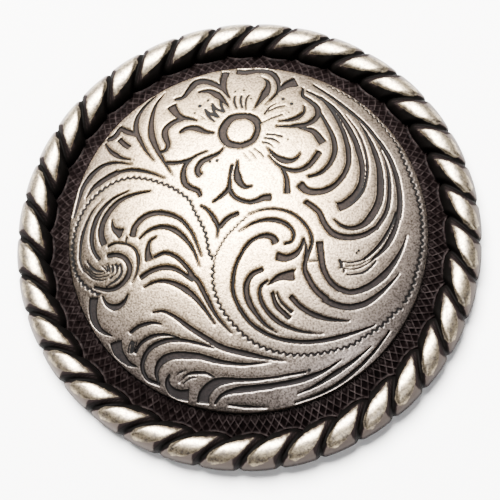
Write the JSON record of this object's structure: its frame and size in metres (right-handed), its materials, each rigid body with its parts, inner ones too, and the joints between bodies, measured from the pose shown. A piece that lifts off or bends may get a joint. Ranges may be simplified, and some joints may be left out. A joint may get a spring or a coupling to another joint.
{
  "type": "screw-back concho",
  "caption": "Round domed concho with engraved scroll and flower, sloping matted border, twisted rope edge and a threaded post in its hollow back.",
  "frame": {"origin": "centre of the flat back of the rim, on the surface that the concho lies on", "axes": "+Z out of the face along the concho's axis, +Y towards the flower, +X to the right of the flower seen from the front"},
  "size_m": [0.038, 0.038, 0.0061],
  "materials": {
    "antique_silver": "die-cast zinc, silver plated, blackened in the recesses and buffed bright on the high parts",
    "plain_steel": "turned steel, nickel plated, plain"
  },
  "bodies": {
    "root": {"face_plate": "antique_silver", "screw_post": "plain_steel"}
  },
  "joints": []
}
